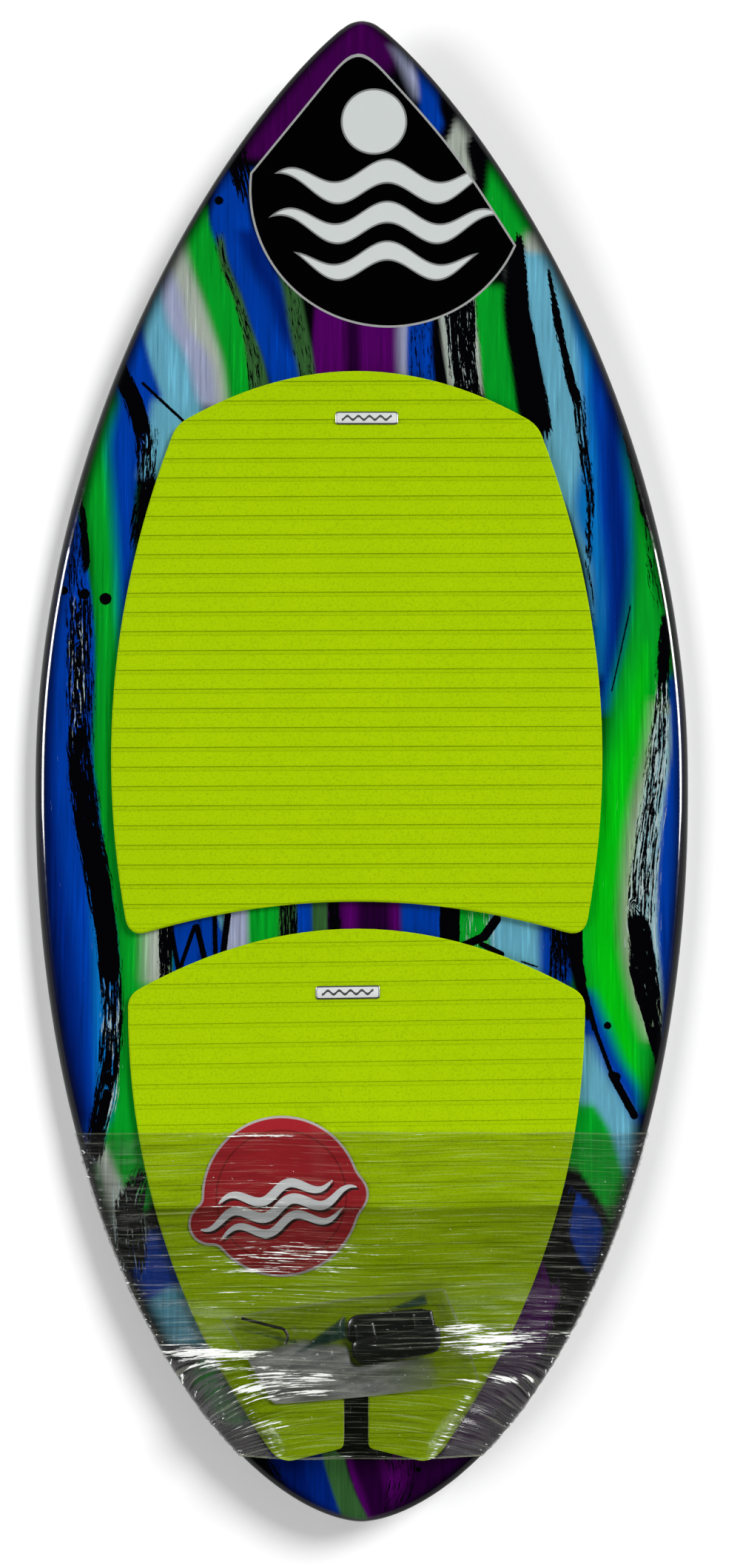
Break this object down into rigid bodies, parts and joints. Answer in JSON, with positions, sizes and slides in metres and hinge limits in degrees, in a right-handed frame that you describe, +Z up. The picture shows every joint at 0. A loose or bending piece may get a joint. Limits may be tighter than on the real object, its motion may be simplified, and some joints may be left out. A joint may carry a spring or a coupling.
{
  "type": "wakesurf board",
  "caption": "Pointed skim style board with painted deck, grooved foam traction pads and twin fin boxes, tail wrapped in stretch film over a card and a pouch of fins.",
  "frame": {"origin": "middle of the board's length and width, on the surface that the bottom rests on", "axes": "+Z up through the deck, +Y towards the nose, +X to the right seen from above with the nose ahead"},
  "size_m": [0.53, 1.211, 0.0627],
  "materials": {
    "deck_gloss": "gloss",
    "bottom_gloss": "gloss",
    "stringer_wood": "matte",
    "core_foam": "matte",
    "dense_foam": "matte",
    "box_plastic": "satin",
    "screw_steel": "satin",
    "adhesive": "satin",
    "pad_foam": "matte",
    "riser_foam": "matte",
    "badge_rubber": "satin",
    "printed_card": "satin",
    "pouch_film": "gloss",
    "fin_plastic": "satin",
    "key_steel": "satin",
    "stretch_film": "gloss"
  },
  "bodies": {
    "board": {"deck_laminate": "deck_gloss", "bottom_laminate": "bottom_gloss", "stringer": "stringer_wood", "foam_core_left": "core_foam", "foam_core_right": "core_foam", "fin_block_left": "dense_foam", "fin_block_right": "dense_foam", "fin_box_left": "box_plastic", "fin_box_right": "box_plastic", "front_pad_adhesive": "adhesive", "rear_pad_adhesive": "adhesive", "front_pad": "pad_foam", "rear_pad": "pad_foam", "arch_bar": "riser_foam", "tail_kick_left": "riser_foam", "tail_kick_right": "riser_foam", "front_badge": "badge_rubber", "rear_badge": "badge_rubber", "round_card": "printed_card", "fin_pouch": "pouch_film", "fin_left": "fin_plastic", "fin_right": "fin_plastic", "hex_key": "key_steel", "tail_film": "stretch_film"},
    "grub_screw_left_front": {"grub_screw_left_front": "screw_steel"},
    "grub_screw_left_rear": {"grub_screw_left_rear": "screw_steel"},
    "grub_screw_right_front": {"grub_screw_right_front": "screw_steel"},
    "grub_screw_right_rear": {"grub_screw_right_rear": "screw_steel"}
  },
  "joints": [
    {"name": "screw_left_front_turn", "type": "hinge", "parent": "board", "child": "grub_screw_left_front", "pos_m": [-0.12301, -0.42842, 0.01697], "axis": [0.314, 0.0609, 0.9475], "continuous": true},
    {"name": "screw_left_rear_turn", "type": "hinge", "parent": "board", "child": "grub_screw_left_rear", "pos_m": [-0.12621, -0.47414, 0.02097], "axis": [0.314, 0.0609, 0.9475], "continuous": true},
    {"name": "screw_right_front_turn", "type": "hinge", "parent": "board", "child": "grub_screw_right_front", "pos_m": [0.12301, -0.42842, 0.01697], "axis": [-0.314, 0.0609, 0.9475], "continuous": true},
    {"name": "screw_right_rear_turn", "type": "hinge", "parent": "board", "child": "grub_screw_right_rear", "pos_m": [0.12621, -0.47414, 0.02097], "axis": [-0.314, 0.0609, 0.9475], "continuous": true}
  ]
}
